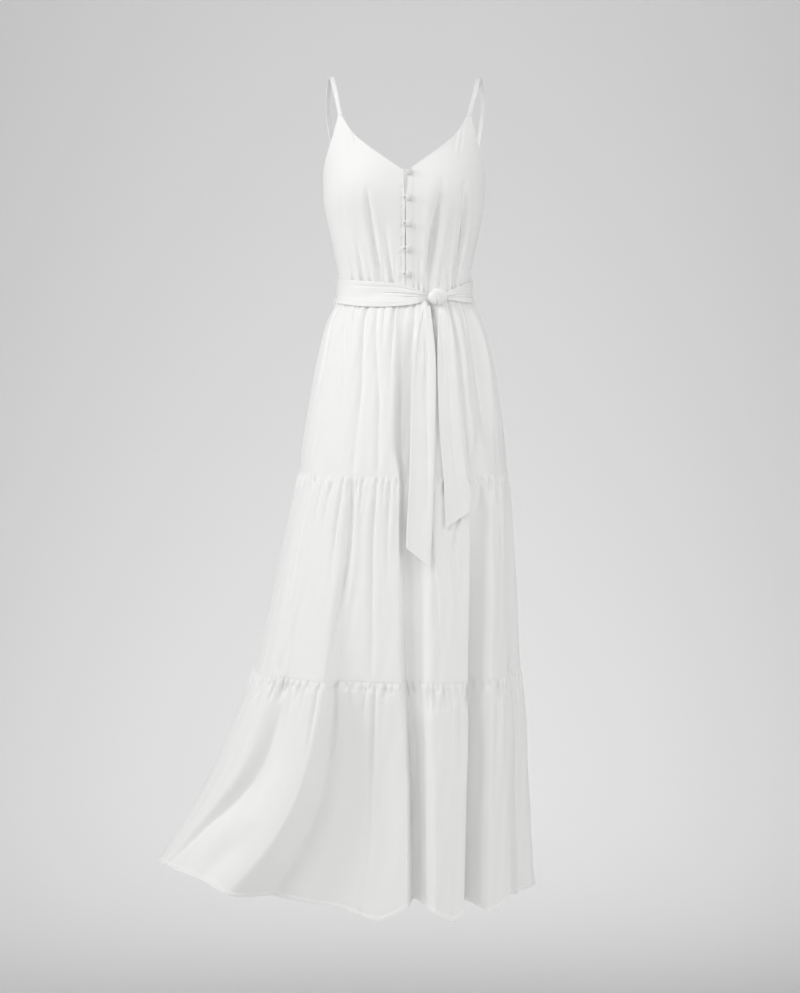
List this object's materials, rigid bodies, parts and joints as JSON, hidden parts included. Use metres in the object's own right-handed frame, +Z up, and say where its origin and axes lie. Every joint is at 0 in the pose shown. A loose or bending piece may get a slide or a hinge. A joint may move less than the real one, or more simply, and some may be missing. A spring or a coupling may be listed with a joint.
{
  "type": "maxi dress",
  "caption": "Sleeveless tiered maxi dress with a buttoned V neck, thin shoulder straps and a knotted sash, hollow as it is worn.",
  "frame": {"origin": "between the crests of the two shoulder straps, level with them, where the wearer's shoulders hold the dress", "axes": "+Z up, +X towards the viewer's right as the front is seen, so the front faces -Y"},
  "size_m": [0.65, 0.3858, 1.3945],
  "materials": {
    "dress_cloth": "matt white woven viscose crepe",
    "strap_cloth": "matt white woven cloth, turned and pressed",
    "sash_cloth": "matt white woven cloth, doubled",
    "button_cloth": "white cloth pulled over a domed button",
    "thread": "white chained sewing thread"
  },
  "bodies": {
    "root": {"bodice_front_left": "dress_cloth", "bodice_front_right": "dress_cloth", "bodice_back": "dress_cloth", "strap_left": "strap_cloth", "strap_right": "strap_cloth", "tier1_front": "dress_cloth", "tier1_back": "dress_cloth", "tier2_front": "dress_cloth", "tier2_back": "dress_cloth", "tier3_front": "dress_cloth", "tier3_back": "dress_cloth", "sash_left": "sash_cloth", "sash_right": "sash_cloth", "sash_back": "sash_cloth", "sash_knot": "sash_cloth", "sash_tail_left": "sash_cloth", "sash_tail_right": "sash_cloth", "button_1": "button_cloth", "button_2": "button_cloth", "button_3": "button_cloth", "button_4": "button_cloth", "button_5": "button_cloth", "button_loop_1": "strap_cloth", "button_loop_2": "strap_cloth", "button_loop_3": "strap_cloth", "button_loop_4": "strap_cloth", "button_loop_5": "strap_cloth", "thread_loop_left": "thread", "thread_loop_right": "thread"}
  },
  "joints": []
}
